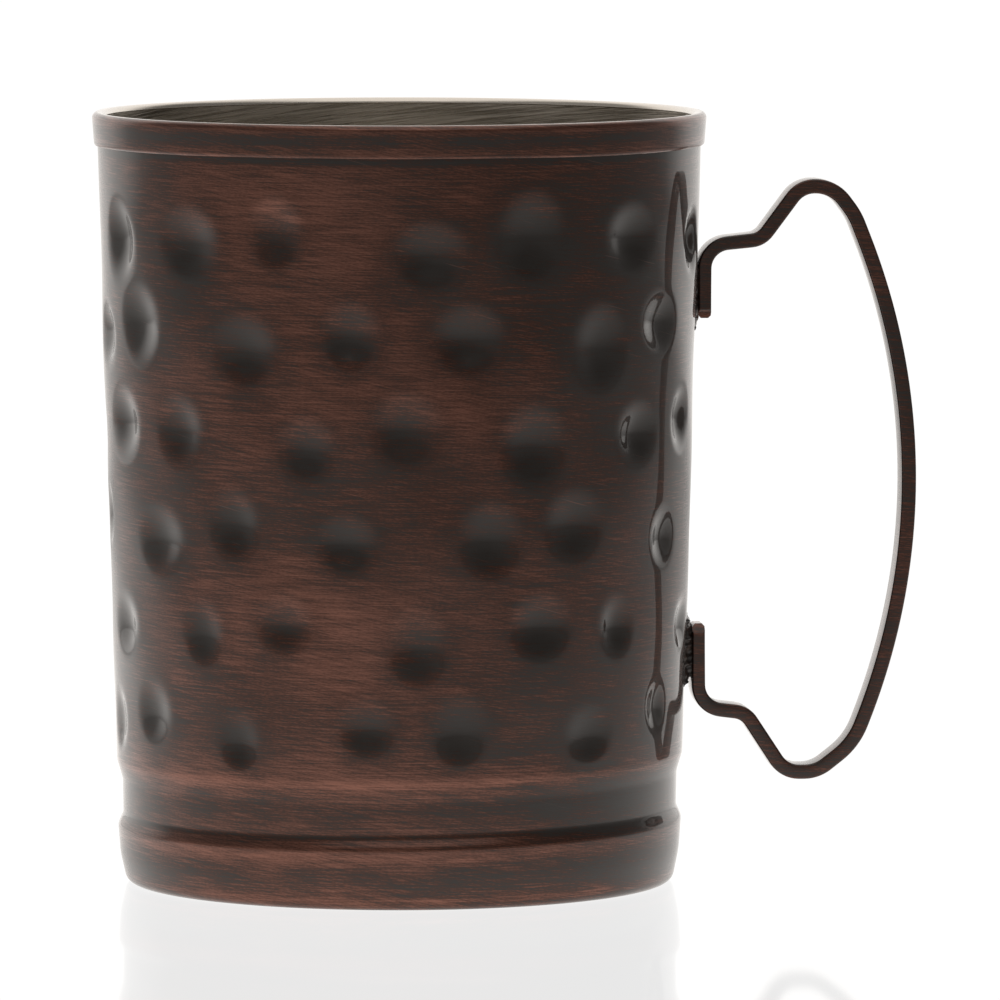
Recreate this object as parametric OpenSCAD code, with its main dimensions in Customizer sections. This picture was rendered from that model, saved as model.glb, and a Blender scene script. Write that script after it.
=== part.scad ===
// Hammered copper mug with a rolled groove above its foot, a hooped rim, a silver lining
// and a bent strap handle. Millimetres. The mug stands on Z = 0, its axis is Z and its
// handle points along +X.

/* [Wall] */
// Outside radius of the wall at the foot of its straight taper
wall_low_r = 38.9; // [38.7:0.05:39.1]
// Height where the straight taper starts
wall_low_z = 22; // [20:0.5:26]
// Outside radius of the wall at its top edge
wall_top_r = 41.3; // [41.1:0.05:41.4]
// Height of the wall's top edge, under the rim
wall_top_z = 104.6; // [104.2:0.1:104.7]
// Thickness of the copper sheet
sheet = 0.8; // [0.6:0.05:0.9]
// Thickness of the silver lining
lining_t = 0.3; // [0.2:0.05:0.4]

/* [Groove and foot] */
// Outside radius at the bottom of the groove
groove_r = 37.9; // [37.6:0.1:38.1]
// Height of the ridge above the groove
ridge_z = 17.3; // [17:0.1:18]
// Height of the crease between the groove and the foot
crease_z = 9.5; // [9.3:0.1:10]
// Outside radius of the foot at its shoulder
foot_r = 38.6; // [38.4:0.05:38.8]
// Outside radius of the foot where it turns under
toe_r = 37.4; // [37.3:0.1:37.7]
// Inside radius of the edge that the foot turns in
lip_r = 33.5; // [31:0.5:34]

/* [Base] */
// Radius of the base disc
base_r = 35.9; // [35:0.1:36]
// Thickness of the base disc
base_t = 1; // [0.8:0.1:1.2]
// How far the middle of the disc is dished up above its edge
dish_h = 1.8; // [1.2:0.1:2.5]
// Width of the solder ring under the base disc
seal_w = 0.9; // [0.5:0.1:1]

/* [Rim] */
// Overall height of the mug
mug_h = 105.5; // [105.4:0.1:106]
// Outside radius of the rim at its top
rim_r = 42.1; // [41.9:0.05:42.3]
// Height of the lower edge of the rim
rim_z = 101; // [100:0.5:102]
// How much the rim narrows towards its lower edge
rim_flare = 0.35; // [0:0.05:0.4]
// Gap between the skirt of the rim and the wall
rim_gap = 0.03; // [0.02:0.01:0.06]
// Rounding of the two top corners of the rim
rim_round = 0.8; // [0.3:0.05:0.8]

/* [Handle] */
// Width of the strap
strap_w = 5; // [4:0.5:7]
// Thickness of the strap
strap_t = 1.9; // [1.4:0.1:2.1]
// How far the outside of the bow is from the mug's axis
strap_reach = 71; // [66:0.5:76]
// Height of the top of the upper hump
strap_top_z = 96; // [92:0.5:99]
// Height of the bottom of the lower hump
strap_low_z = 13.5; // [10:0.5:16]
// How far the bow leans out where it leaves the humps
bow_lean = 21.5; // [18:0.5:24]
// Width of each solder pad
solder_w = 6.4; // [5.5:0.1:8]
// How far the solder runs past the end of each foot
solder_run = 1; // [0.5:0.1:2]

/* [Hammer marks] */
// Number of rows of marks, one above the other
mark_rows = 6; // [4:1:8]
// Number of marks in each row, all round the wall
marks_round = 15; // [12:1:18]
// Depth of the marks in the outside of the wall
mark_depth = 0.45; // [0.2:0.05:0.55]
// Usual width of the marks in the top row
mark_top_w = 9.5; // [7:0.5:10]
// Usual width of the marks in the bottom row
mark_low_w = 7; // [5:0.5:8]

/* [Hidden] */
$fn = 96;

ARC_ERROR = 0.02;     // how far a rounded corner may stray from its true arc
FINE = 256;           // sides of a circle that a thin piece has to follow closely
CUT = 1;              // how far a shape reaches into what is cut away from it
SOLDER_EDGE = 0.1;    // thickness of the solder where it runs out on the wall
RIDGE_DROP = 2.6;     // from the ridge down to where the groove's bottom starts
GROOVE_FLARE = 0.1;   // how much the groove's bottom widens towards the ridge
CREASE_RISE = 0.5;    // from the crease up to where the groove's bottom ends
SHOULDER_DROP = 1.1;  // from the crease down to the foot's shoulder
FOOT_TAPER = 0.3;     // how much the foot narrows from its shoulder to its belly
BELLY_Z = 4.2;        // height of the foot's belly, where it starts to turn under
DISC_MARGIN = 0.2;    // flat width of the base disc inside the solder ring
SEAL_LIFT = 0.15;     // how far the solder ring under the base stays above the table
SEAL_HOLLOW = 0.4;    // how far the ring's free face sinks in from the foot's edge
RIM_SEAT_GAP = 0.05;  // gap between the rim and the top edge of the wall
HOOP_ROUND = 0.35;    // rounding of the rim's lower edge
MARK_PHASE = 4;       // angle of the first mark of the top row, from the handle
ROW_SHIFT = 0.5;      // how far every other row is shifted, in steps along its row
UNEVEN_TURN = 3;      // how far a mark strays along its row, in degrees
UNEVEN_RISE = 1.5;     // how far a mark strays up or down
UNEVEN_SIZE = 0.12;   // how much the marks' widths differ, over their usual width
STRIP_CLEAR = 9;      // half the arc of the smooth strip of wall behind the handle
STRIP_CLEAR_Z = 5;    // how far the smooth strip runs past the handle's two shelves

COPPER = "sienna";
DARK_COPPER = "saddlebrown";
SILVER = "silver";
SOLDER = "dimgray";

// ---- Lines of rounded corners ----

function unit(v) = v / norm(v);
function left_of(v) = [-v[1], v[0]];
function place(corner) = [corner[0], corner[1]];
function short_turn(a, b) = let (d = b - a) d > 180 ? d - 360 : d < -180 ? d + 360 : d;
function arc_steps(radius, turn) = ceil(abs(turn) / (sqrt(8 * ARC_ERROR / radius) * 180 / PI)) + 2;

// The arc that rounds corner b of a line through a, b and c. A corner is [x, y, rounding].
function corner_arc(a, b, c) =
    let (u = unit(place(a) - place(b)),
         v = unit(place(c) - place(b)),
         half = acos(u * v) / 2,
         centre = place(b) + unit(u + v) * b[2] / sin(half),
         from = place(b) + u * b[2] / tan(half) - centre,
         to = place(b) + v * b[2] / tan(half) - centre,
         start = atan2(from[1], from[0]),
         turn = short_turn(start, atan2(to[1], to[0])),
         steps = arc_steps(b[2], turn))
    [for (i = [0 : steps])
        let (angle = start + turn * i / steps) centre + b[2] * [cos(angle), sin(angle)]];

function arc_or_point(a, b, c) = b[2] == 0 ? [place(b)] : corner_arc(a, b, c);

// The points of an open line, and of a closed loop, with every corner rounded
function rounded(line) =
    let (last = len(line) - 1)
    [for (i = [0 : last])
        each i == 0 || i == last ? [place(line[i])]
            : arc_or_point(line[i - 1], line[i], line[i + 1])];
function rounded_loop(line) =
    let (count = len(line))
    [for (i = [0 : count - 1])
        each arc_or_point(line[(i + count - 1) % count], line[i], line[(i + 1) % count])];

// A line moved sideways by d, to its left when d is positive. Each rounding grows or shrinks
// with it, so that the two rounded lines stay parallel.
function moved_end(b, direction, d) = concat(place(b) + left_of(unit(direction)) * d, [0]);
function moved_corner(a, b, c, d) =
    let (u = unit(place(b) - place(a)),
         v = unit(place(c) - place(b)),
         side = unit(left_of(u) + left_of(v)),
         bend = u[0] * v[1] - u[1] * v[0],
         rounding = b[2] == 0 ? 0 : b[2] - sign(bend) * d)
    concat(place(b) + side * d / (side * left_of(u)), [rounding]);
function moved(line, d) =
    let (last = len(line) - 1)
    [for (i = [0 : last])
        i == 0 ? moved_end(line[0], place(line[1]) - place(line[0]), d)
        : i == last ? moved_end(line[last], place(line[last]) - place(line[last - 1]), d)
        : moved_corner(line[i - 1], line[i], line[i + 1], d)];

function reversed(list) = [for (i = [len(list) - 1 : -1 : 0]) list[i]];

// A strip between an open line of corners and the same line moved sideways by d
module strip(line, d) {
    polygon(concat(rounded(line), reversed(rounded(moved(line, d)))));
}

// ---- The wall, as a line of [radius, height, rounding] from its top edge down ----

wall_slope = (wall_top_r - wall_low_r) / (wall_top_z - wall_low_z);
function wall_r(z) = wall_low_r + wall_slope * (z - wall_low_z);

wall_line = [
    [wall_top_r, wall_top_z, 0],
    [wall_r(ridge_z), ridge_z, 2.8],
    [groove_r + GROOVE_FLARE, ridge_z - RIDGE_DROP, 2],
    [groove_r, crease_z + CREASE_RISE, 1],
    [foot_r, crease_z - SHOULDER_DROP, 1.2],
    [foot_r - FOOT_TAPER, BELLY_Z, 12],
    [toe_r, 0, 1.4],
    [lip_r, 0, 0]
];

// The underside of the base disc, which rests on the edge that the foot turns in
disc_flat_r = lip_r - seal_w - DISC_MARGIN;
base_line = [
    [base_r, sheet, 0],
    [disc_flat_r, sheet, 1.5],
    [disc_flat_r - dish_h, sheet + dish_h, 1.5],
    [0, sheet + dish_h, 0]
];

// The lining follows the inside of the wall down to the base disc, then the top of the disc
inside_line = moved(wall_line, -sheet);
base_top_line = moved(base_line, -base_t);
belly = inside_line[5];
toe = inside_line[6];
base_top_z = sheet + base_t;
lining_line = concat(
    [for (i = [0 : 5]) inside_line[i]],
    [[belly[0] + (toe[0] - belly[0]) * (belly[1] - base_top_z) / (belly[1] - toe[1]),
      base_top_z, 0]],
    [for (i = [1 : 3]) base_top_line[i]]);

// ---- The rim, as a loop of [radius, height, rounding] ----

rim_seat_z = wall_top_z + RIM_SEAT_GAP;
mouth_r = wall_top_r - sheet - lining_t;
rim_loop = [
    [rim_r - rim_flare, rim_z, HOOP_ROUND],
    [rim_r, mug_h, rim_round],
    [mouth_r, mug_h, rim_round],
    [mouth_r, rim_seat_z, 0],
    [wall_top_r + rim_gap, rim_seat_z, 0],
    [wall_r(rim_z) + rim_gap, rim_z, 0]
];

// ---- The handle, as the centre line of its strap: [x, z, bend radius] ----

half_t = strap_t / 2;
upper_foot_x = 41.8;
upper_foot_z = 77;
upper_shelf_z = 87;
upper_shelf_out = 7.8;
lower_foot_x = 41;
lower_foot_z = 35;
lower_shelf_z = 23.5;
lower_shelf_out = 6.5;
shelf_rise = 0.8;     // how much each shelf climbs towards its hump
limb_out = 5.4;       // from the shelf's end out to where the hump's crown starts
crown_w = 4.5;        // width of each crown between its two bends
shoulder_x = 62.5;    // where each hump passes into the bow
shoulder_drop = 4;    // from the crown to the shoulder

// One end of the strap from its foot to its shoulder. way is +1 at the top, -1 at the bottom.
function strap_end(foot_x, foot_z, shelf_z, shelf_out, crown_z, way) =
    let (limb_x = foot_x + shelf_out, crown_x = limb_x + limb_out)
    [[foot_x, foot_z, 0],
     [foot_x, shelf_z, 3.5],
     [limb_x, shelf_z + way * shelf_rise, 3],
     [crown_x, crown_z, 3.8],
     [crown_x + crown_w, crown_z, 5],
     [shoulder_x, crown_z - way * shoulder_drop, 10]];

upper_end = strap_end(upper_foot_x, upper_foot_z, upper_shelf_z, upper_shelf_out,
                      strap_top_z - half_t, 1);
lower_end = strap_end(lower_foot_x, lower_foot_z, lower_shelf_z, lower_shelf_out,
                      strap_low_z + half_t, -1);

// The bow is one arc between the shoulders, and its radius makes it just meet strap_reach
half_bow = (upper_end[5][1] - lower_end[5][1]) / 2;
bow_x = shoulder_x + half_bow * tan(bow_lean);
bow_r = (bow_x - strap_reach + half_t) / (1 / cos(bow_lean) - 1);
bow_corner = [bow_x, lower_end[5][1] + half_bow, bow_r];

strap_line = concat(upper_end, [bow_corner], reversed(lower_end));
// The side of the strap that its feet turn to the wall, and where the feet bend away from it
strap_face = moved(strap_line, half_t);
upper_bend_z = 83.8;
lower_bend_z = 28;

// ---- Hammer marks ----

low_mark_z = 24;
top_mark_z = 89.5;
row_gap = (top_mark_z - low_mark_z) / (mark_rows - 1);

function mark_width(z) =
    mark_low_w + (mark_top_w - mark_low_w) * (z - low_mark_z) / (top_mark_z - low_mark_z);

// Hand work is uneven: these waves never fall into step with the rows
function uneven(n, pace) = sin(n * pace);
function mark_angle(row, place) =
    let (n = row * marks_round + place)
    short_turn(0, (MARK_PHASE + 360 * (place + (row % 2) * ROW_SHIFT) / marks_round
                   + UNEVEN_TURN * uneven(n, 137)) % 360);
function mark_height(row, place) =
    top_mark_z - row * row_gap + UNEVEN_RISE * uneven(row * marks_round + place, 222);
function mark_size(row, place) = 1 + UNEVEN_SIZE * uneven(row * marks_round + place, 97);

// The strip of wall behind the handle is left smooth
function behind_handle(angle, z) =
    abs(angle) * PI / 180 * wall_r(z) < STRIP_CLEAR
    && z > lower_shelf_z - STRIP_CLEAR_Z && z < upper_shelf_z + STRIP_CLEAR_Z;

// Every mark as [angle, height, size]
marks = [
    for (row = [0 : mark_rows - 1], place = [0 : marks_round - 1])
        let (angle = mark_angle(row, place), z = mark_height(row, place))
            if (!behind_handle(angle, z)) [angle, z, mark_size(row, place)]
];

// The ball that presses one mark into the outside of the wall
module hammer(angle, z, size) {
    ball_r = (pow(size * mark_width(z) / 2, 2) + pow(mark_depth, 2)) / (2 * mark_depth);
    rotate([0, 0, angle])
        translate([wall_r(z) + ball_r - mark_depth, 0, z])
            sphere(r = ball_r);
}

module hammer_all_round() {
    for (mark = marks) hammer(mark[0], mark[1], mark[2]);
}

// ---- Pieces ----

module turned(shape_colour) {
    color(shape_colour) rotate_extrude() children();
}

module body_shell() {
    color(COPPER)
        difference() {
            rotate_extrude() strip(wall_line, -sheet);
            hammer_all_round();
        }
}

module lining() {
    turned(SILVER) strip(lining_line, -lining_t);
}

module base_disc() {
    turned(COPPER) strip(base_line, -base_t);
}

module base_solder() {
    turned(SOLDER)
        polygon([[lip_r, SEAL_LIFT], [lip_r, sheet], [lip_r - seal_w, sheet],
                 [lip_r - SEAL_HOLLOW, (SEAL_LIFT + sheet) / 2]]);
}

module rim_band() {
    turned(COPPER) polygon(rounded_loop(rim_loop));
}

// A flat shape in X and Z, given a width in Y
module across(width) {
    rotate([90, 0, 0]) linear_extrude(width, center = true) children();
}

module handle() {
    color(DARK_COPPER) across(strap_w) strip(strap_face, -strap_t);
}

// The point at height z on the line through a and b
function point_at(a, b, z) = [a[0] + (b[0] - a[0]) * (z - a[1]) / (b[1] - a[1]), z];

// The solder between the wall and one foot. a and b are two points on the foot's wall side,
// end_z is its free end, bend_z is where it bends away, and way is +1 or -1 along Z from the
// bend to the free end.
module solder_pad(a, b, end_z, bend_z, way) {
    run_z = end_z + way * solder_run;
    color(SOLDER)
        difference() {
            across(solder_w)
                polygon([[wall_low_r - CUT, bend_z], point_at(a, b, bend_z),
                         point_at(a, b, end_z), [wall_r(run_z) + SOLDER_EDGE, run_z],
                         [wall_low_r - CUT, run_z]]);
            translate([0, 0, wall_low_z])
                cylinder(h = wall_top_z - wall_low_z, r1 = wall_low_r, r2 = wall_top_r, $fn = FINE);
        }
}

module solder_upper() {
    solder_pad(strap_face[0], strap_face[1], upper_foot_z, upper_bend_z, -1);
}

module solder_lower() {
    last = len(strap_face) - 1;
    solder_pad(strap_face[last - 1], strap_face[last], lower_foot_z, lower_bend_z, 1);
}

body_shell();
lining();
base_disc();
base_solder();
rim_band();
handle();
solder_upper();
solder_lower();
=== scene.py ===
"""An antique copper mug: hammered wall, hooped rim, silver lining and a bent strap handle.

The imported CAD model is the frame. Each CAD node is replaced by a finer mesh of the same size,
made here from the same profile. Lengths are in millimetres until a mesh is built.
"""

import math

import bmesh
import bpy
import numpy as np
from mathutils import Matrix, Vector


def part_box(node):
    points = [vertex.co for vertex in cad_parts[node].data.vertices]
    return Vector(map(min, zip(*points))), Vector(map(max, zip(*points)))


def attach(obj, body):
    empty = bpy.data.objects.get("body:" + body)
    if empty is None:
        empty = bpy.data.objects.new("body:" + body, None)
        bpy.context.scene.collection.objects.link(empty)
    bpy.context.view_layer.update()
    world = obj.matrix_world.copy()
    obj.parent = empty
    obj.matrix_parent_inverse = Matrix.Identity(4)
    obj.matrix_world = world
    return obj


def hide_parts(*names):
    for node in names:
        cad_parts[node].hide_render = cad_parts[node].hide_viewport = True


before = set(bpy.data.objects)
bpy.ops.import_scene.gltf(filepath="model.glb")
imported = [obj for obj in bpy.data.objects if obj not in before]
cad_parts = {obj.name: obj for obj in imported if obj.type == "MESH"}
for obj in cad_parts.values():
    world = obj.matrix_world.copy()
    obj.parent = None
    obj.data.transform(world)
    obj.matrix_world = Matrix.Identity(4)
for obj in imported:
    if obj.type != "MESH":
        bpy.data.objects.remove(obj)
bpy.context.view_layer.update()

MM = 0.001


def node_box(name):
    """The lowest and highest corner of a CAD node, in millimetres."""
    low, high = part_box(name)
    return np.array(low) / MM, np.array(high) / MM


# ---- Sizes, from the CAD frame where it holds them ----

WALL_TOP_R = node_box("body_shell")[1][0]
WALL_TOP_Z = node_box("body_shell")[1][2]
WALL_LOW_R = 38.9
WALL_LOW_Z = 22.0
SHEET = 0.8
LINING_T = 0.3

RIDGE_Z = 17.3
GROOVE_R = 37.9
CREASE_Z = 9.5
FOOT_R = 38.6
BELLY_Z = 4.2
TOE_R = 37.4
LIP_R = 33.5

BASE_R = node_box("base_disc")[1][0]
BASE_T = 1.0
DISH_H = 1.8
SEAL_W = 0.9

RIM_R = node_box("rim_band")[1][0]
RIM_LOW_Z = node_box("rim_band")[0][2]
MUG_H = node_box("rim_band")[1][2]
RIM_FLARE = 0.35
RIM_GAP = 0.12
RIM_ROUND = 0.8
HOOP_ROUND = 0.35

STRAP_W = node_box("handle")[1][1] - node_box("handle")[0][1]
STRAP_T = 1.9
STRAP_REACH = node_box("handle")[1][0]
STRAP_TOP_Z = node_box("handle")[1][2]
STRAP_LOW_Z = node_box("handle")[0][2]
BOW_LEAN = math.radians(21.5)
UPPER_FOOT = (41.8, 77.0)         # x and z of the strap's upper free end
UPPER_SHELF = (7.8, 87.0)         # length and height of the shelf above it
LOWER_FOOT = (41.0, 35.0)
LOWER_SHELF = (6.5, 23.5)
SHELF_RISE = 0.8
LIMB_OUT = 5.4
CROWN_W = 4.5
SHOULDER_X = 62.5
SHOULDER_DROP = 4.0
FOOT_BEND = 3.5                   # bend radii, from each foot outwards
SHELF_BEND = 3.0
LIMB_BEND = 3.8
CROWN_BEND = 5.0
SHOULDER_BEND = 10.0
UPPER_BEND_Z = 83.8
LOWER_BEND_Z = 28.0

# The hammer marks, in staggered rows all round the wall
MARK_ROWS = 6
MARKS_ROUND = 15
LOW_MARK_Z = 24.0
TOP_MARK_Z = 89.5
MARK_PHASE = 4.0                  # angle of the top row's first mark, in degrees
ROW_SHIFT = 0.5                   # how far every other row is shifted, in steps along its row
UNEVEN_TURN = 3.0                 # how far a mark strays along its row, in degrees
UNEVEN_RISE = 1.5                 # how far a mark strays up or down
UNEVEN_SIZE = 0.12                # how much the marks' widths differ, over their usual width
TURN_PACE = 137.0                 # degrees of its wave from one mark to the next, for each
RISE_PACE = 222.0
SIZE_PACE = 97.0
DEPTH_PACE = 61.0
FLAT_PACE = 171.0
STRIP_CLEAR = 9.0                 # half the arc of the smooth strip of wall behind the handle
STRIP_CLEAR_Z = 5.0               # how far the smooth strip runs past the handle's two shelves
LOW_MARK = (8.6, 0.72)            # usual width and depth of the lowest marks
TOP_MARK = (10.8, 1.2)            # and of the highest ones
STAIN_CORE = 0.9                  # width of the darkest patina, over the width of its mark
STAIN_EDGE = 1.7                  # width of all the dark patina, over the width of its mark
STAIN_DROP = 0.9                  # how far below the middle of a mark its patina is darkest

# The wall is painted lighter on two sides that face each other and darker between them: part wear,
# part painted light and shade
WORN_AND_LIT_SIDE = math.radians(-112)    # the middle of one lighter side
WORN_AND_LIT = 0.55                       # how much lighter it is painted there
WORN_AND_LIT_USUAL = -0.3                 # how much lighter the wall is painted between the sides

SEGMENTS = 360                    # faces round the wall


# ---- Lines of rounded corners ----


def unit(v):
    return v / np.linalg.norm(v)


def corner_arc(a, b, c, error=0.004):
    """The points of the arc that rounds corner b of the line a-b-c; b is (x, y, radius)."""
    here = np.array(b[:2], float)
    u = unit(np.array(a[:2]) - here)
    v = unit(np.array(c[:2]) - here)
    half = math.acos(np.clip(u @ v, -1, 1)) / 2
    centre = here + unit(u + v) * b[2] / math.sin(half)
    start = here + u * b[2] / math.tan(half) - centre
    end = here + v * b[2] / math.tan(half) - centre
    first = math.atan2(start[1], start[0])
    turn = math.atan2(end[1], end[0]) - first
    turn = (turn + math.pi) % (2 * math.pi) - math.pi
    steps = math.ceil(abs(turn) / math.sqrt(8 * error / b[2])) + 2
    angles = first + turn * np.linspace(0, 1, steps + 1)
    return centre + b[2] * np.c_[np.cos(angles), np.sin(angles)]


def rounded(line, loop=False):
    """The points of a line, or a closed loop, of (x, y, radius) corners."""
    count = len(line)
    points = []
    for i, corner in enumerate(line):
        if corner[2] == 0 or (not loop and i in (0, count - 1)):
            points.append([corner[:2]])
        else:
            points.append(corner_arc(line[i - 1], corner, line[(i + 1) % count]))
    return np.concatenate([np.array(p, float) for p in points])


def moved(line, d):
    """The line moved sideways by d, to its left when d is positive, with its roundings."""
    result = []
    last = len(line) - 1
    for i, corner in enumerate(line):
        here = np.array(corner[:2], float)
        u = unit(here - line[i - 1][:2]) if i else unit(np.array(line[1][:2]) - here)
        v = unit(np.array(line[i + 1][:2]) - here) if i < last else u
        left_u = np.array([-u[1], u[0]])
        side = unit(left_u + np.array([-v[1], v[0]]))
        bend = u[0] * v[1] - u[1] * v[0]
        radius = corner[2] - np.sign(bend) * d if corner[2] else 0
        result.append((*(here + side * d / (side @ left_u)), radius))
    return result


def resampled(points, spacing):
    """Points along the same line, about as far apart as spacing(x, y) says."""
    steps = np.linalg.norm(np.diff(points, axis=0), axis=1)
    along = np.r_[0, np.cumsum(steps)]
    places = [0.0]
    while places[-1] < along[-1]:
        x, y = (np.interp(places[-1], along, points[:, k]) for k in (0, 1))
        places.append(places[-1] + spacing(x, y))
    places = np.array(places) * along[-1] / places[-1]
    return np.c_[np.interp(places, along, points[:, 0]), np.interp(places, along, points[:, 1])]


# ---- The hammered wall ----


def wall_r(z):
    return WALL_LOW_R + (WALL_TOP_R - WALL_LOW_R) * (z - WALL_LOW_Z) / (WALL_TOP_Z - WALL_LOW_Z)


WALL_LINE = [
    (WALL_TOP_R, WALL_TOP_Z, 0),
    (wall_r(RIDGE_Z), RIDGE_Z, 2.8),
    (GROOVE_R + 0.1, RIDGE_Z - 2.6, 2),
    (GROOVE_R, CREASE_Z + 0.5, 1),
    (FOOT_R, CREASE_Z - 1.1, 1.2),
    (FOOT_R - 0.3, BELLY_Z, 12),
    (TOE_R, 0, 1.4),
    (LIP_R, 0, 0),
]


def uneven(n, pace):
    """Hand work is uneven: these waves never fall into step with the rows."""
    return math.sin(math.radians(n * pace))


def behind_handle(degrees, z):
    """Whether a mark would lie on the smooth strip of wall behind the handle."""
    off_side = (degrees + 180) % 360 - 180
    return (abs(math.radians(off_side)) * wall_r(z) < STRIP_CLEAR
            and LOWER_SHELF[1] - STRIP_CLEAR_Z < z < UPPER_SHELF[1] + STRIP_CLEAR_Z)


def hammer_marks():
    """Every mark as (angle, height, width, depth, flatness), where the CAD has it."""
    marks = []
    for row in range(MARK_ROWS):
        for place in range(MARKS_ROUND):
            n = row * MARKS_ROUND + place
            degrees = (MARK_PHASE + 360 * (place + row % 2 * ROW_SHIFT) / MARKS_ROUND
                       + UNEVEN_TURN * uneven(n, TURN_PACE))
            z = (TOP_MARK_Z - row * (TOP_MARK_Z - LOW_MARK_Z) / (MARK_ROWS - 1)
                 + UNEVEN_RISE * uneven(n, RISE_PACE))
            if behind_handle(degrees, z):
                continue
            share = (z - LOW_MARK_Z) / (TOP_MARK_Z - LOW_MARK_Z)
            size = 1 + UNEVEN_SIZE * uneven(n, SIZE_PACE)
            width = size * (LOW_MARK[0] + share * (TOP_MARK[0] - LOW_MARK[0]))
            depth = LOW_MARK[1] + share * (TOP_MARK[1] - LOW_MARK[1])
            marks.append((math.radians(degrees), z, width,
                          depth * (1 + 0.1 * uneven(n, DEPTH_PACE)), 1 + 0.08 * uneven(n, FLAT_PACE)))
    return marks


MARKS = hammer_marks()


def mark_depth(theta, z):
    """How far the sheet is pressed in at each angle and height."""
    total = np.zeros(np.broadcast(theta, z).shape)
    for angle, height, width, depth, flat in MARKS:
        turn = (theta - angle + math.pi) % (2 * math.pi) - math.pi
        reach = np.hypot(turn * wall_r(height) / flat, (z - height) * flat) / (width / 2)
        total = np.maximum(total, depth * np.clip(1 - reach**2, 0, 1) ** 2)
    return total


def mark_stain(theta, z):
    """How deep in the patina of a mark each place is, from 0 to 1."""
    total = np.zeros(np.broadcast(theta, z).shape)
    for angle, height, width, depth, flat in MARKS:
        turn = (theta - angle + math.pi) % (2 * math.pi) - math.pi
        reach = np.hypot(turn * wall_r(height) / flat, z - height + STAIN_DROP) / (width / 2)
        core = np.clip(1 - (reach / STAIN_CORE) ** 2, 0, 1) ** 1.5
        edge = np.clip(1 - (reach / STAIN_EDGE) ** 2, 0, 1) ** 1.5
        total = np.maximum(total, 0.5 * core + 0.5 * edge)
    return total


def wear_and_painted_light(theta, z):
    """How much lighter, or darker, each place is painted than the usual: part wear, part painted
    light and shade.
    """
    sides = np.cos(2 * (theta - WORN_AND_LIT_SIDE))
    rows = 0.3 * np.cos(0.23 * (z - 94)) + 0.2 * np.sin(5 * theta + 0.13 * z)
    return WORN_AND_LIT_USUAL + WORN_AND_LIT * sides * (1 + rows) + 0.5 * rows


def waviness(theta, z):
    """The slight unevenness that hammering leaves between the marks."""
    fade = np.clip((z - 18) / 8, 0, 1) * np.clip((100 - z) / 8, 0, 1)
    waves = (0.050 * np.sin(5 * theta + 0.11 * z + 0.6)
             + 0.035 * np.sin(9 * theta - 0.17 * z + 2.1)
             + 0.030 * np.sin(3 * theta - 0.29 * z + 4.0)
             + 0.020 * np.sin(16 * theta + 0.31 * z + 1.3))
    return waves * fade


def groove_lift(theta, z):
    """The groove was rolled slightly out of level: higher on the handle side."""
    return 0.5 * np.cos(theta) * np.clip(z / 7, 0, 1) * np.clip((30 - z) / 12, 0, 1)


def pressed(theta, r, z):
    """Where a point of the plain wall ends up once the wall is hammered and grooved."""
    pushed = r - mark_depth(theta, z) - waviness(theta, z)
    return pushed, z + groove_lift(theta, z)


# ---- Mesh helpers ----


def new_object(name, points, faces, material):
    """A smooth-shaded mesh object from points in millimetres."""
    mesh = bpy.data.meshes.new(name)
    mesh.from_pydata((np.asarray(points) * MM).tolist(), [], faces)
    mesh.validate()
    mesh.polygons.foreach_set("use_smooth", [True] * len(mesh.polygons))
    mesh.materials.append(material)
    obj = bpy.data.objects.new(name, mesh)
    bpy.context.scene.collection.objects.link(obj)
    return obj


def set_attribute(obj, name, values):
    layer = obj.data.attributes.new(name, "FLOAT", "POINT")
    layer.data.foreach_set("value", np.asarray(values, np.float32))


def revolve(name, outline, material, segments=SEGMENTS, shape=None, closed=True):
    """Turns an outline of (radius, height) points about Z. shape moves each ring point.

    Outline points on the axis become one vertex. Returns the object and, for every vertex,
    its angle and its height on the unshaped outline.
    """
    theta = np.arange(segments) * 2 * math.pi / segments
    points, angles, heights, rings = [], [], [], []
    for r, z in outline:
        if r < 1e-6:
            rings.append([len(points)])
            points.append((0, 0, z))
            angles.append(0)
            heights.append(z)
            continue
        rr, zz = (np.full(segments, r), np.full(segments, z))
        if shape:
            rr, zz = shape(theta, rr, zz)
        rings.append(list(range(len(points), len(points) + segments)))
        points += np.c_[rr * np.cos(theta), rr * np.sin(theta), zz].tolist()
        angles += theta.tolist()
        heights += [z] * segments
    pairs = list(zip(rings, rings[1:]))
    if closed:
        pairs.append((rings[-1], rings[0]))
    faces = []
    for a, b in pairs:
        for i in range(segments):
            j = (i + 1) % segments
            if len(a) == 1 and len(b) == 1:
                break
            if len(a) == 1:
                faces.append((a[0], b[i], b[j]))
            elif len(b) == 1:
                faces.append((a[i], b[0], a[j]))
            else:
                faces.append((a[i], b[i], b[j], a[j]))
    obj = new_object(name, points, faces, material)
    outward(obj)
    obj.data.set_sharp_from_angle(angle=math.radians(45))
    return obj, np.array(angles), np.array(heights)


def outward(obj):
    """Makes every face of a closed mesh look outwards."""
    bm = bmesh.new()
    bm.from_mesh(obj.data)
    bmesh.ops.recalc_face_normals(bm, faces=bm.faces)
    bm.to_mesh(obj.data)
    bm.free()


def stand_for(obj, node):
    """The piece rides on the one rigid body and replaces its CAD node."""
    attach(obj, "root")
    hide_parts(node)


# ---- Material helpers ----


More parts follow.
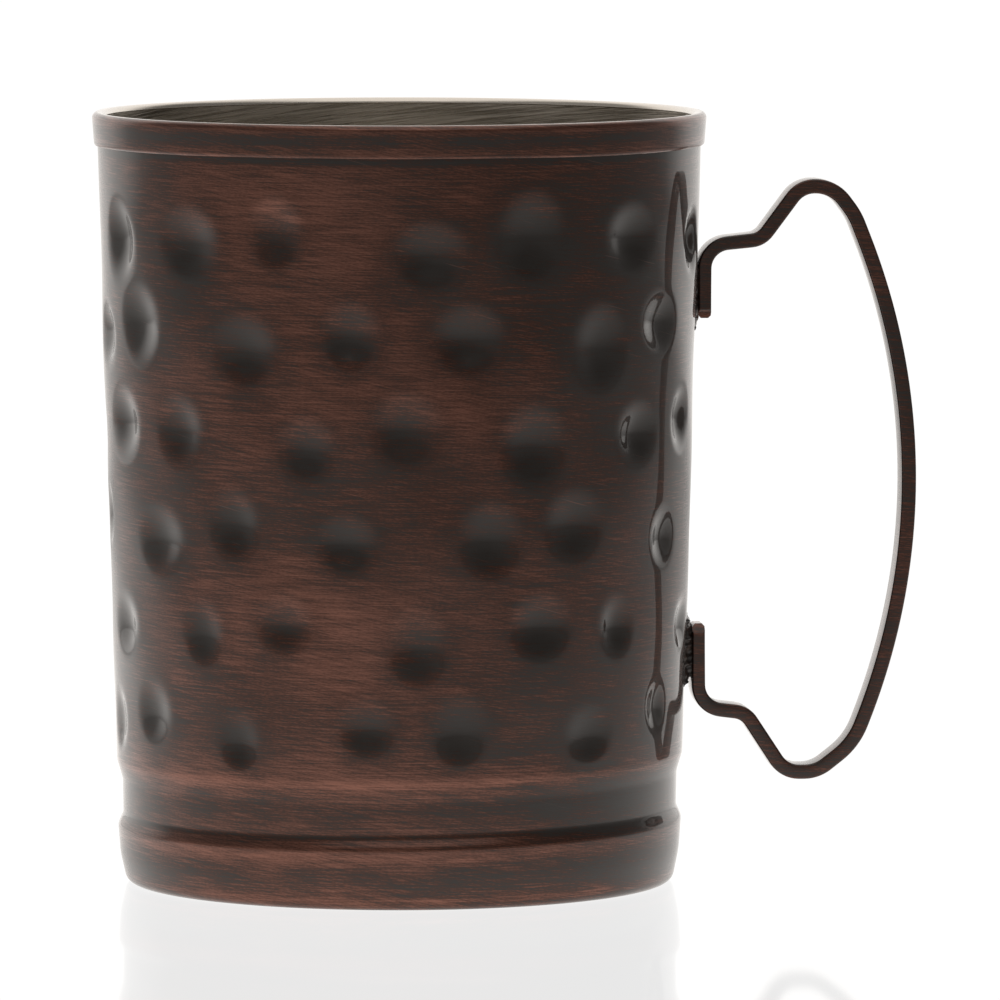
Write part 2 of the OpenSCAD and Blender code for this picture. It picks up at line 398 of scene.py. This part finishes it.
class Graph:
    """A short way to wire one material's nodes."""

    def __init__(self, name):
        self.material = bpy.data.materials.new(name)
        self.material.use_nodes = True
        self.tree = self.material.node_tree
        self.shader = self.tree.nodes["Principled BSDF"]

    def put(self, socket, value):
        if isinstance(value, bpy.types.NodeSocket):
            self.tree.links.new(value, socket)
        else:
            socket.default_value = value

    def node(self, kind, inputs=None, **settings):
        made = self.tree.nodes.new(kind)
        for key, value in settings.items():
            setattr(made, key, value)
        for key, value in (inputs or {}).items():
            self.put(made.inputs[key], value)
        return made

    def math(self, operation, a, b=0.0, clamp=False):
        return self.node("ShaderNodeMath", {0: a, 1: b}, operation=operation,
                         use_clamp=clamp).outputs[0]

    def add(self, start, *parts):
        total = start
        for part in parts:
            total = self.math("ADD", total, part)
        return total

    def around(self, noise, size):
        """Noise as a shift about nothing, of this size."""
        return self.math("MULTIPLY", self.math("SUBTRACT", noise, 0.5), size)

    def level(self, value, low, high, to_low=0.0, to_high=1.0):
        """Maps low..high to to_low..to_high, smoothly and clamped."""
        made = self.node("ShaderNodeMapRange", {"Value": value, "From Min": low, "From Max": high,
                                                "To Min": to_low, "To Max": to_high})
        made.interpolation_type = "SMOOTHSTEP"
        return made.outputs["Result"]

    def blend(self, share, a, b, way="MIX"):
        made = self.node("ShaderNodeMix", data_type="RGBA", blend_type=way)
        self.put(made.inputs["Factor"], share)
        self.put(made.inputs["A"], a)
        self.put(made.inputs["B"], b)
        return made.outputs["Result"]

    def place(self):
        return self.node("ShaderNodeTexCoord").outputs["Object"]

    def stretched(self, vector, across, up, fall=0.0):
        """Coordinates scaled by across and up, so that noise on them runs as streaks.

        The streaks fall to the right, seen from the front, by this many degrees.
        """
        made = self.node("ShaderNodeMapping", {
            "Vector": vector, "Rotation": (0, math.radians(fall), 0),
            "Scale": (1 / across, 1 / across, 1 / up)}, vector_type="TEXTURE")
        return made.outputs["Vector"]

    def noise(self, vector, detail=2.0, roughness=0.5):
        made = self.node("ShaderNodeTexNoise", {"Vector": vector, "Scale": 1.0, "Detail": detail,
                                                "Roughness": roughness})
        return made.outputs["Fac"]

    def attribute(self, name):
        return self.node("ShaderNodeAttribute", attribute_name=name).outputs["Fac"]

    def bump(self, height, strength, distance):
        made = self.node("ShaderNodeBump", {"Height": height, "Strength": strength,
                                            "Distance": distance * MM})
        return made.outputs["Normal"]

    def finish(self, **inputs):
        for key, value in inputs.items():
            self.put(self.shader.inputs[key.replace("_", " ")], value)
        return self.material


def grey(value):
    return (value, value, value, 1.0)


STUDIO_WHITE = (1.0, 0.965, 0.93, 1.0)    # the warm white that the mug mirrors


DARK_PATINA_AND_SHADE = (0.022, 0.017, 0.014, 1.0)       # the blackened skin in the hollows, also the colour of the painted shade
BROWN = (0.090, 0.034, 0.021, 1.0)        # copper under thin patina
RUBBED_AND_HIGHLIGHT_COPPER = (0.27, 0.110, 0.074, 1.0)        # copper where the polishing wheel reached it, also the colour of the painted highlights


def antique_copper(name, dark=0.0, plating=False):
    """Lacquered antique copper; dark shifts it towards the patina.

    Vertex values: hollow darkens it, up to 1, in the patina at the bottom of a mark and where shade
    is painted on; rub brightens it, up to 1, on edges that are rubbed and where a highlight is
    painted on; plated is 1 where the silver of the lining comes over the rim.
    """
    g = Graph(name)
    at = g.place()
    brush = g.noise(g.stretched(at, 150, 8200, fall=0.6), detail=1)
    streaks = g.noise(g.stretched(at, 110, 3300, fall=-1.5), detail=3)
    slant = g.noise(g.stretched(at, 150, 7000, fall=14), detail=1)
    patches = g.noise(g.stretched(at, 28, 36), detail=2)
    mottle = g.noise(g.stretched(at, 130, 260), detail=3, roughness=0.6)
    speckle = g.noise(g.stretched(at, 2200, 5200), detail=2)
    patina_and_shade = g.attribute("patina_and_shade")
    rub_and_highlight = g.attribute("rub_and_highlight")

    shade = g.add(0.5 + dark,
                  g.around(patches, 0.55),
                  g.around(mottle, 0.45),
                  g.around(streaks, 0.3),
                  g.around(slant, 0.75),
                  g.around(brush, 1.2),
                  g.around(speckle, 0.6),
                  # patina in the marks, and painted shade, darken the copper
                  g.math("MULTIPLY", patina_and_shade, g.add(0.55, g.around(mottle, 0.8))),
                  # rubbed edges, and painted highlights, brighten it
                  g.math("MULTIPLY", rub_and_highlight, -0.32))
    colour = g.blend(g.level(shade, -0.3, 0.7), RUBBED_AND_HIGHLIGHT_COPPER, BROWN)
    colour = g.blend(g.level(shade, 0.4, 1.0), colour, DARK_PATINA_AND_SHADE)
    scratch = g.level(g.noise(g.stretched(at, 110, 5200, fall=17)), 0.68, 0.78)
    colour = g.blend(g.math("MULTIPLY", scratch, 0.3), colour, RUBBED_AND_HIGHLIGHT_COPPER)
    metal = g.level(shade, 0.5, 1.1, 1.0, 0.5)
    rough = g.level(shade, 0.0, 1.0, 0.36, 0.5)
    if plating:
        plated = g.attribute("plated")
        colour = g.blend(plated, colour, (0.76, 0.70, 0.62, 1.0))
        metal = g.math("MAXIMUM", metal, plated)
        rough = g.math("MULTIPLY", rough, g.level(plated, 0.0, 1.0, 1.0, 0.6))
    relief = g.add(0.0, g.around(brush, 0.5), g.around(streaks, 0.5))
    return g.finish(
        Base_Color=colour,
        Metallic=metal,
        Roughness=rough,
        Normal=g.bump(relief, 0.3, 0.04),
        Coat_Weight=0.9,
        Coat_Roughness=0.03,
        Coat_IOR=1.45,
    )


def silver_lining():
    """Dull silver, scratched at a slant round the inside."""
    g = Graph("silver_lining")
    at = g.place()
    slant = g.noise(g.stretched(at, 70, 3000, fall=-5), detail=4, roughness=0.65)
    fine = g.noise(g.stretched(at, 90, 5200, fall=-8), detail=3)
    dull = g.noise(g.stretched(at, 30, 40), detail=3)
    tone = g.add(0.5, g.around(slant, 1.5), g.around(fine, 1.0), g.around(dull, 0.5))
    colour = g.blend(g.level(tone, 0.1, 0.9), (0.26, 0.23, 0.185, 1), (0.66, 0.60, 0.52, 1))
    return g.finish(
        Base_Color=colour,
        Metallic=1.0,
        Roughness=g.level(slant, 0.3, 0.7, 0.22, 0.36),
        Normal=g.bump(g.math("ADD", slant, fine), 0.5, 0.05),
    )


def dark_solder():
    g = Graph("solder")
    at = g.place()
    lumps = g.noise(g.stretched(at, 900, 700), detail=4, roughness=0.6)
    colour = g.blend(g.level(lumps, 0.45, 0.75), (0.006, 0.004, 0.003, 1), (0.06, 0.035, 0.025, 1))
    return g.finish(
        Base_Color=colour,
        Metallic=0.6,
        Roughness=g.level(lumps, 0.3, 0.7, 0.35, 0.6),
        Normal=g.bump(lumps, 0.6, 0.25),
        Coat_Weight=1.0,
        Coat_Roughness=0.08,
    )


# ---- Pieces ----


def bell(z, centre, width):
    return np.exp(-(((z - centre) / width) ** 2))


def wall_spacing(r, z):
    """Rows lie closer where the wall bends, and the flat edge under the foot needs few."""
    if z > 20:
        return 0.8
    return 0.34 if r > 36 else 1.2


def make_body_shell():
    outer = resampled(rounded(WALL_LINE), wall_spacing)
    inner = resampled(rounded(moved(WALL_LINE, -SHEET)), lambda r, z: 2.4 if z > 20 else 1.0)
    outline = np.concatenate([outer, inner[::-1]])
    material = antique_copper("hammered_copper")
    obj, theta, z = revolve("body_shell", outline, material, shape=pressed)
    # Rubbed bright along the ridge and along the foot's shoulder, part wear and part painted
    # highlight, and along the bottom edge by wear; the wall's lighter and darker sides are part wear
    # and part painted light and shade.
    rub_and_highlight = 1.0 * bell(z, RIDGE_Z - 0.1, 0.7) + 0.4 * bell(z, RIDGE_Z + 1.6, 1.5)
    rub_and_highlight += 0.8 * bell(z, CREASE_Z - 2.1, 0.9) + 0.9 * bell(z, 1.4, 0.4) + wear_and_painted_light(theta, z)
    # Patina in the marks, and a painted shadow in a thin line just under the rim.
    patina_and_shade = np.maximum(mark_stain(theta, z), bell(z, WALL_TOP_Z - 3.9, 0.3))
    # Painted shade along the crease above the foot.
    patina_and_shade = np.maximum(patina_and_shade, 0.7 * bell(z, CREASE_Z + 0.5, 0.45))
    # Painted shade across the groove between the ridge and the crease.
    patina_and_shade = np.maximum(patina_and_shade, 0.45 * bell(z, 13.2, 2.2))
    # Darker round the foot's belly.
    patina_and_shade = np.maximum(patina_and_shade, 0.4 * bell(z, 4.2, 1.8))
    set_attribute(obj, "patina_and_shade", patina_and_shade)
    set_attribute(obj, "rub_and_highlight", rub_and_highlight)
    stand_for(obj, "body_shell")


def make_lining():
    inside = moved(WALL_LINE, -SHEET)
    belly, toe = np.array(inside[5]), np.array(inside[6])
    base_top = SHEET + BASE_T
    share = (belly[1] - base_top) / (belly[1] - toe[1])
    flat_r = LIP_R - SEAL_W - 0.2
    back = inside[:6] + [
        (belly[0] + share * (toe[0] - belly[0]), base_top, 0),
        (flat_r, base_top, 0.6),
        (flat_r - DISH_H, base_top + DISH_H, 2.4),
        (0, base_top + DISH_H, 0),
    ]
    front = resampled(rounded(moved(back, -LINING_T)), lambda r, z: 0.9 if z > 1 and r > 29 else 3)
    behind = resampled(rounded(back), lambda r, z: 2.4 if r > 29 else 6)
    outline = np.concatenate([behind, front[::-1]])
    obj, theta, z = revolve("lining", outline, silver_lining(), shape=pressed)
    stand_for(obj, "lining")


def make_base_disc():
    flat_r = LIP_R - SEAL_W - 0.2
    under = [(BASE_R, SHEET, 0), (flat_r, SHEET, 1.5), (flat_r - DISH_H, SHEET + DISH_H, 1.5),
             (0, SHEET + DISH_H, 0)]
    top = rounded(moved(under, -BASE_T))
    outline = np.concatenate([rounded(under), top[::-1]])
    material = antique_copper("base_copper", dark=0.05)
    obj, theta, z = revolve("base_disc", outline, material, segments=180)
    set_attribute(obj, "patina_and_shade", np.zeros(len(z)))
    set_attribute(obj, "rub_and_highlight", np.zeros(len(z)))
    stand_for(obj, "base_disc")


def make_base_solder(material):
    section = [(LIP_R, 0.15, 0), (LIP_R, SHEET, 0), (LIP_R - SEAL_W, SHEET, 0),
               (LIP_R - 0.45, 0.5, 0.3)]

    def lumpy(theta, r, z):
        swell = 0.12 * np.sin(11 * theta + 1) + 0.1 * np.sin(23 * theta + 0.4)
        return r + swell * (r < LIP_R - 0.1), z

    obj, theta, z = revolve("base_solder", rounded(section, loop=True), material, segments=240,
                            shape=lumpy)
    stand_for(obj, "base_solder")


def make_rim_band():
    mouth_r = WALL_TOP_R - SHEET - LINING_T
    seat_z = WALL_TOP_Z + 0.02
    loop = [
        (WALL_TOP_R + 0.05, seat_z, 0),
        (wall_r(RIM_LOW_Z) + RIM_GAP, RIM_LOW_Z, 0.1),
        (RIM_R - RIM_FLARE + 0.03, RIM_LOW_Z, HOOP_ROUND),
        (RIM_R + 0.03, MUG_H, RIM_ROUND),
        (mouth_r, MUG_H, RIM_ROUND),
        (mouth_r, seat_z, 0),
    ]

    def uneven(theta, r, z):
        wave = 0.03 * np.sin(4 * theta + 0.5) + 0.02 * np.sin(7 * theta + 2) - 0.05
        low = np.clip((MUG_H - 1 - z) / 3, 0, 1)
        dip = 0.06 * np.sin(3 * theta + 1.2) + 0.03 * np.sin(8 * theta)
        return r + wave * (r > WALL_TOP_R + 0.2), z + dip * low

    outline = resampled(rounded(loop + loop[:1], loop=False), lambda r, z: 0.16)[:-1]
    material = antique_copper("rim_copper", dark=0.02, plating=True)
    obj, theta, z = revolve("rim_band", outline, material, shape=uneven)
    co = np.array([v.co for v in obj.data.vertices]) / MM
    radius = np.hypot(co[:, 0], co[:, 1])
    outside = radius > 41.2
    # Darker across the middle of the band's outer face.
    set_attribute(obj, "patina_and_shade", 0.55 * bell(z, RIM_LOW_Z + 2.3, 1.0) * outside)
    # The rolled top edge is rubbed bright, part wear and part painted highlight; a painted highlight
    # runs along the lower edge, with a lighter band just above it.
    set_attribute(obj, "rub_and_highlight", 0.75 * bell(z, MUG_H - 0.7, 0.55) + 0.5 * bell(z, RIM_LOW_Z, 0.25)
                  + 0.35 * bell(z, RIM_LOW_Z + 0.9, 0.6))
    set_attribute(obj, "plated", np.clip((41.45 - radius) / 0.3, 0, 1))
    stand_for(obj, "rim_band")


def strap_section(half_t, half_w, edge, steps=4):
    """The strap's cross-section as (across its thickness, across its width) points."""
    corners = [(half_t, half_w, edge), (-half_t, half_w, edge), (-half_t, -half_w, edge),
               (half_t, -half_w, edge)]
    return rounded(corners, loop=True)


def ground_off(section, to_upper_end, to_lower_end):
    """The strap's section at these distances from its ends, less what the file took off there.

    Each end has a wide facet on the side nearest the camera and small ones on its other edges.
    """
    t, w = section[:, 0].copy(), section[:, 1].copy()
    for distance in (to_upper_end, to_lower_end):
        w = np.maximum(w, -STRAP_W / 2 + max(1.2 - distance, 0))
        w = np.minimum(w, STRAP_W / 2 - max(0.5 - distance, 0))
        t = np.clip(t, -STRAP_T / 2 + max(0.35 - distance, 0), STRAP_T / 2 - max(0.5 - distance, 0))
    return np.c_[t, w]


def strap_end(foot, shelf, crown_z, way):
    """One end of the strap, from its foot to its shoulder; way is 1 at the top, -1 below."""
    limb_x = foot[0] + shelf[0]
    crown_x = limb_x + LIMB_OUT
    return [
        (foot[0], foot[1], 0),
        (foot[0], shelf[1], FOOT_BEND),
        (limb_x, shelf[1] + way * SHELF_RISE, SHELF_BEND),
        (crown_x, crown_z, LIMB_BEND),
        (crown_x + CROWN_W, crown_z, CROWN_BEND),
        (SHOULDER_X, crown_z - way * SHOULDER_DROP, SHOULDER_BEND),
    ]


def strap_line():
    """The centre line of the strap, as (x, z, bend radius) from its upper foot down."""
    upper = strap_end(UPPER_FOOT, UPPER_SHELF, STRAP_TOP_Z - STRAP_T / 2, 1)
    lower = strap_end(LOWER_FOOT, LOWER_SHELF, STRAP_LOW_Z + STRAP_T / 2, -1)
    half_bow = (upper[-1][1] - lower[-1][1]) / 2
    bow_x = SHOULDER_X + half_bow * math.tan(BOW_LEAN)
    bow_r = (bow_x - STRAP_REACH + STRAP_T / 2) / (1 / math.cos(BOW_LEAN) - 1)
    return upper + [(bow_x, lower[-1][1] + half_bow, bow_r)] + lower[::-1]


def make_handle():
    line = rounded(strap_line())
    centre = resampled(line, lambda x, z: 0.18 if x < 43 else 0.45)
    steps = np.linalg.norm(np.diff(centre, axis=0), axis=1)
    along = np.r_[0, np.cumsum(steps)]
    ahead = np.gradient(centre, axis=0)
    ahead /= np.linalg.norm(ahead, axis=1)[:, None]
    side = np.c_[-ahead[:, 1], ahead[:, 0]]
    section = strap_section(STRAP_T / 2, STRAP_W / 2, 0.3)
    count = len(section)
    flattened = 1.05 - 0.12 * bell(np.minimum(along, along[-1] - along), 0, 12)
    points = []
    for here, across, done, share in zip(centre, side, along, flattened):
        for t, w in ground_off(section, done, along[-1] - done):
            x, z = here + across * t * share
            points.append((x, w, z))
    faces = [tuple(range(count)), tuple(range(len(points) - count, len(points)))]
    for i in range(len(centre) - 1):
        for j in range(count):
            k = (j + 1) % count
            faces.append((i * count + j, i * count + k, (i + 1) * count + k, (i + 1) * count + j))
    material = antique_copper("handle_copper", dark=0.22)
    obj = new_object("handle", points, faces, material)
    outward(obj)
    obj.data.set_sharp_from_angle(angle=math.radians(32))
    ends = np.repeat(bell(np.minimum(along, along[-1] - along), 0, 0.9), count)
    set_attribute(obj, "patina_and_shade", np.zeros(len(ends)))
    set_attribute(obj, "rub_and_highlight", ends)
    stand_for(obj, "handle")


def make_solder_pad(node, material, a, b, end_z, bend_z, seed):
    """Solder drawn in between the wall and one foot, thinning out beyond the foot's edges."""
    rng = np.random.default_rng(seed)
    phase = rng.uniform(0, 6, 4)
    reach = 1.5
    low, high = min(end_z, bend_z) - reach, max(end_z, bend_z) + reach
    zs = np.linspace(low, high, 60)
    ys = np.linspace(-STRAP_W / 2 - reach, STRAP_W / 2 + reach, 40)
    z, y = np.meshgrid(zs, ys, indexing="ij")
    foot_x = a[0] + (b[0] - a[0]) * (z - a[1]) / (b[1] - a[1])
    wall_x = np.sqrt(wall_r(z) ** 2 - y**2)
    ragged = 0.3 * np.sin(2.3 * z + phase[0]) + 0.2 * np.sin(5.1 * z + phase[1])
    beyond_y = np.clip(np.abs(y) - STRAP_W / 2 + 0.1, 0, None)
    beyond_z = np.clip(np.maximum(min(end_z, bend_z) - z, z - max(end_z, bend_z)), 0, None)
    ragged_end = 0.35 * np.sin(3.3 * y + phase[2])
    away = np.hypot(beyond_y * (1 + ragged), beyond_z * (1 + ragged_end)) / reach
    lumps = 0.16 * np.sin(4.1 * z + 2.2 * y + phase[3]) * np.sin(3.3 * z - 2.9 * y)
    fill = np.clip(1 - away + lumps * (away > 0), 0, 1) ** 1.4
    front = wall_x + 0.02 + (foot_x + 0.05 - wall_x) * fill
    back = wall_x - 0.3
    shape = z.shape
    points = np.concatenate([np.c_[s.ravel(), y.ravel(), z.ravel()] for s in (front, back)])
    index = np.arange(z.size).reshape(shape)
    faces = []
    for layer in (0, z.size):
        for i in range(shape[0] - 1):
            for j in range(shape[1] - 1):
                faces.append(tuple(int(layer + index[i + p, j + q])
                                   for p, q in ((0, 0), (1, 0), (1, 1), (0, 1))))
    edge = np.concatenate([index[0, :-1], index[:-1, -1], index[-1, :0:-1], index[:0:-1, 0]])
    for k, here in enumerate(edge):
        after = edge[(k + 1) % len(edge)]
        faces.append((int(here), int(after), int(after + z.size), int(here + z.size)))
    obj = new_object(node, points, faces, material)
    outward(obj)
    stand_for(obj, node)


make_body_shell()
make_lining()
make_base_disc()
make_rim_band()
make_handle()
solder = dark_solder()
make_base_solder(solder)
face_line = moved(strap_line(), STRAP_T / 2)
make_solder_pad("solder_upper", solder, face_line[0], face_line[1], UPPER_FOOT[1], UPPER_BEND_Z, 3)
make_solder_pad("solder_lower", solder, face_line[-2], face_line[-1], LOWER_FOOT[1], LOWER_BEND_Z, 5)


# ---- Floor, light and camera ----


class Light(Graph):
    """Wires a floor or world whose glow depends on a place or a direction."""

    def __init__(self, tree, vector):
        self.tree = tree
        split = self.node("ShaderNodeSeparateXYZ", {"Vector": vector}).outputs
        self.x, self.y, self.z = split["X"], split["Y"], split["Z"]

    def horizon(self, x, y, dimming=1.0):
        """The glow far off in the direction (x, y): white behind the mug, dim in front of it,
        and dimmer to the right than to the left."""
        front = self.math("MULTIPLY", self.level(x, -0.8, 0.8, 0.375, 0.225), dimming)
        return self.math("MAXIMUM", front, self.level(y, 0.3, 0.75))


def make_floor():
    """A pale, faintly polished floor. The camera sees it as a white sheet; the mug sees it
    brighter close by and behind, and dimmer to the front and to the right."""
    material = bpy.data.materials.new("pale_floor")
    material.use_nodes = True
    tree = material.node_tree
    tree.nodes.clear()
    g = Light(tree, tree.nodes.new("ShaderNodeNewGeometry").outputs["Position"])
    past = g.math("SUBTRACT", g.y, 0.2)
    reach = g.math("ADD", g.math("MULTIPLY", g.x, g.x), g.math("MULTIPLY", past, past))
    pool = g.math("DIVIDE", 1.05, g.math("ADD", 1.0, g.math("DIVIDE", reach, 0.3**2)))
    near = g.math("MULTIPLY", g.add(0.2, pool), g.level(g.x, -0.8, 0.8, 1.25, 0.75))
    near = g.math("MAXIMUM", near, g.level(g.y, 0.2, 0.9, 0.0, 1.0))
    distance = g.math("SQRT", g.add(g.math("MULTIPLY", g.x, g.x), g.math("MULTIPLY", g.y, g.y)))
    horizon = g.horizon(g.math("DIVIDE", g.x, distance), g.math("DIVIDE", g.y, distance))
    share = g.level(distance, 0.4, 1.8)
    glow = g.add(g.math("MULTIPLY", near, g.math("SUBTRACT", 1.0, share)),
                 g.math("MULTIPLY", horizon, share))
    seen_by_mug = g.node("ShaderNodeEmission", {"Color": STUDIO_WHITE, "Strength": glow})
    white = g.node("ShaderNodeEmission", {"Strength": 0.80})
    polish = g.node("ShaderNodeBsdfGlossy", {"Color": grey(0.24), "Roughness": 0.06})
    sheet = g.node("ShaderNodeAddShader", {0: white.outputs[0], 1: polish.outputs[0]})
    ray = tree.nodes.new("ShaderNodeLightPath").outputs["Is Camera Ray"]
    both = g.node("ShaderNodeMixShader", {0: ray, 1: seen_by_mug.outputs[0], 2: sheet.outputs[0]})
    g.node("ShaderNodeOutputMaterial", {"Surface": both.outputs[0]})
    size = 5000
    points = [(-size, -size, 0), (size, -size, 0), (size, size, 0), (-size, size, 0)]
    floor = new_object("floor", points, [(0, 1, 2, 3)], material)
    floor.location.z = -0.00002


def make_world():
    """A studio that is white behind, beside and above the mug and dim in front of it."""
    world = bpy.data.worlds.new("studio")
    bpy.context.scene.world = world
    world.use_nodes = True
    tree = world.node_tree
    g = Light(tree, tree.nodes.new("ShaderNodeTexCoord").outputs["Generated"])
    around = g.horizon(g.x, g.y, dimming=g.level(g.z, 0.0, 0.3, 1.0, 0.57))
    middle = g.level(g.math("ABSOLUTE", g.x), 0.3, 0.75, 0.9, 0.15)
    above = g.math("MULTIPLY", g.level(g.z, 0.4, 0.75), middle)
    above = g.math("MAXIMUM", above, g.level(g.z, 0.75, 0.95, 0.0, 0.8))
    background = tree.nodes["Background"]
    g.put(background.inputs["Color"], STUDIO_WHITE)
    g.put(background.inputs["Strength"], g.math("MAXIMUM", around, above))


def make_camera():
    """The camera looks slightly down at the mug, from a little to the left of its handle's side."""
    azimuth = math.radians(-5)
    distance, height = 1.5, 0.1765
    data = bpy.data.cameras.new("camera")
    data.lens = 395.6
    data.sensor_width = 36
    camera = bpy.data.objects.new("camera", data)
    camera.location = (distance * math.sin(azimuth), -distance * math.cos(azimuth), height)
    pitch, yaw = math.radians(4.737), math.radians(0.526)
    camera.rotation_euler = (math.pi / 2 - pitch, 0, azimuth - yaw)
    bpy.context.scene.collection.objects.link(camera)
    bpy.context.scene.camera = camera


make_floor()
make_world()
make_camera()
bpy.context.scene.view_settings.view_transform = "Standard"
